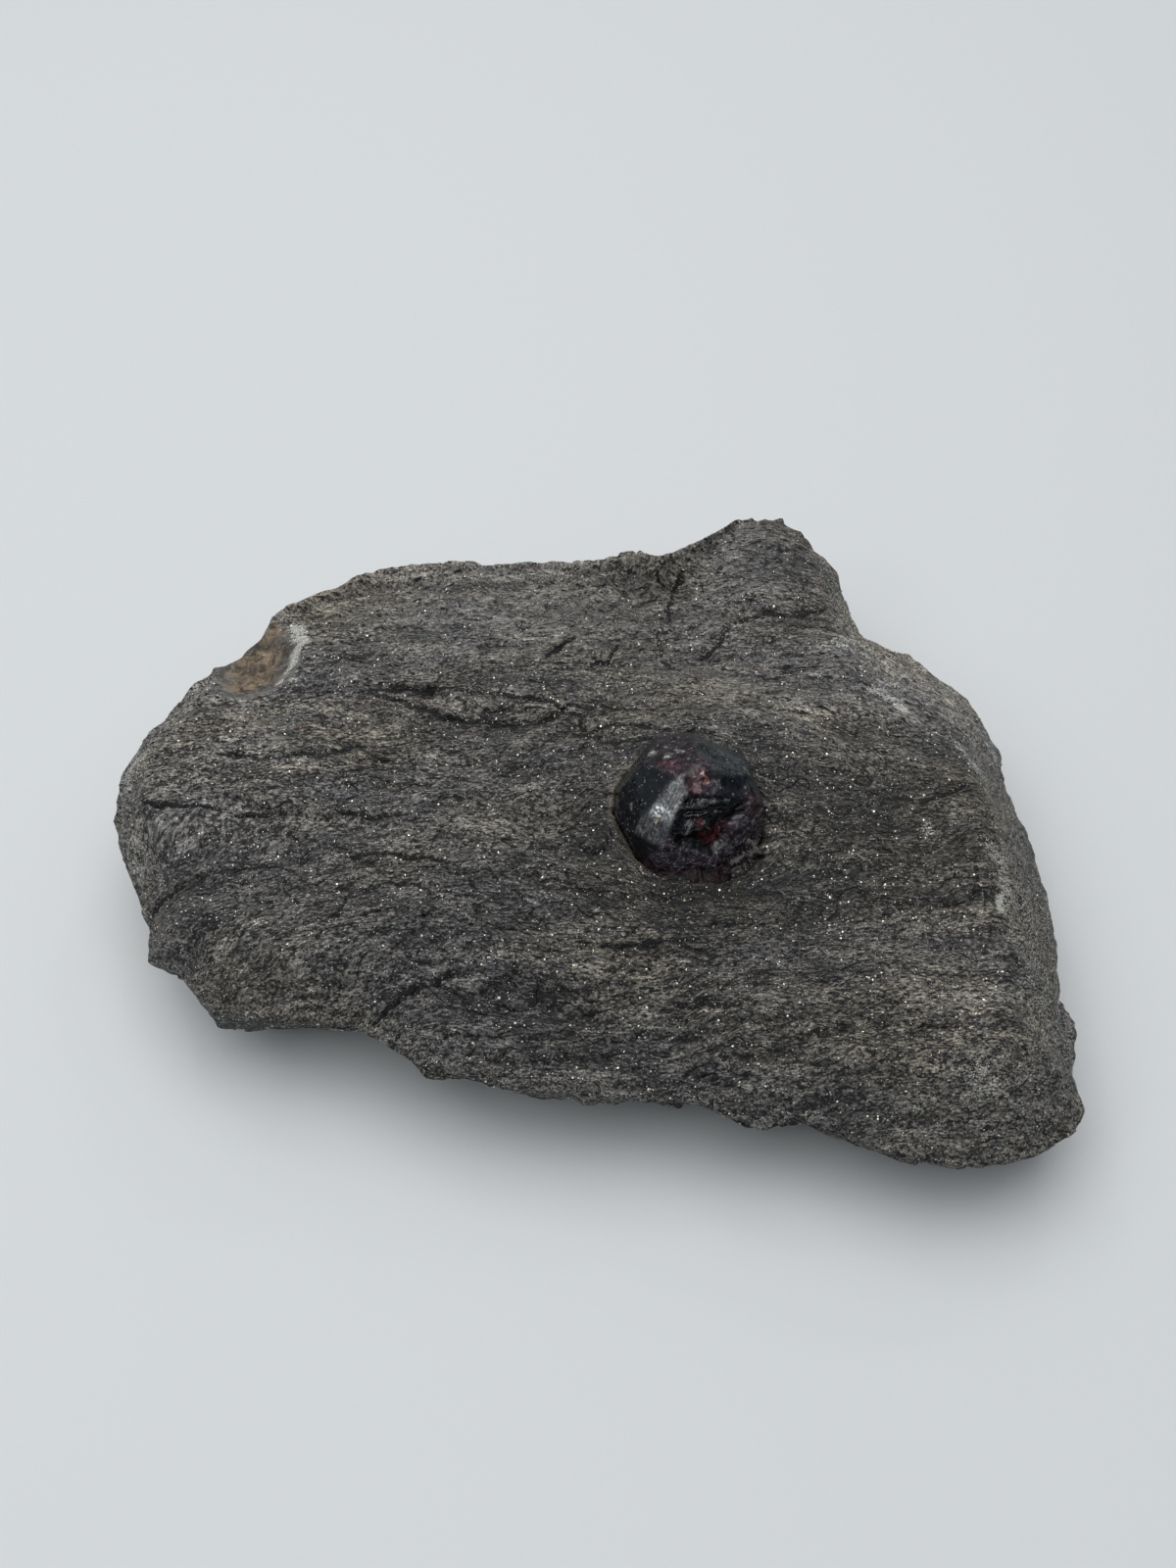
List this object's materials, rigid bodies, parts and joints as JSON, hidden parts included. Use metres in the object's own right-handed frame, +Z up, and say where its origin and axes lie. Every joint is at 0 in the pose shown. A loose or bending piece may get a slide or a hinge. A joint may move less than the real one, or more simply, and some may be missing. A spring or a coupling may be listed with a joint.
{
  "type": "garnet crystal in schist",
  "caption": "Dark red almandine garnet crystal set in the top of a broken, undercut slab of grey mica schist that rests flat.",
  "frame": {"origin": "middle of the bounding box in plan, on the surface that the slab rests on", "axes": "+X along the slab's length and its lineation, +Y away from the viewer of the display side, +Z up out of the face that carries the crystal"},
  "size_m": [0.1571, 0.1199, 0.0458],
  "materials": {
    "schist": "matt broken rock with fine mica glints",
    "garnet": "glossy natural crystal faces, worn and partly broken"
  },
  "bodies": {
    "root": {"schist_matrix": "schist", "garnet_crystal": "garnet"}
  },
  "joints": []
}
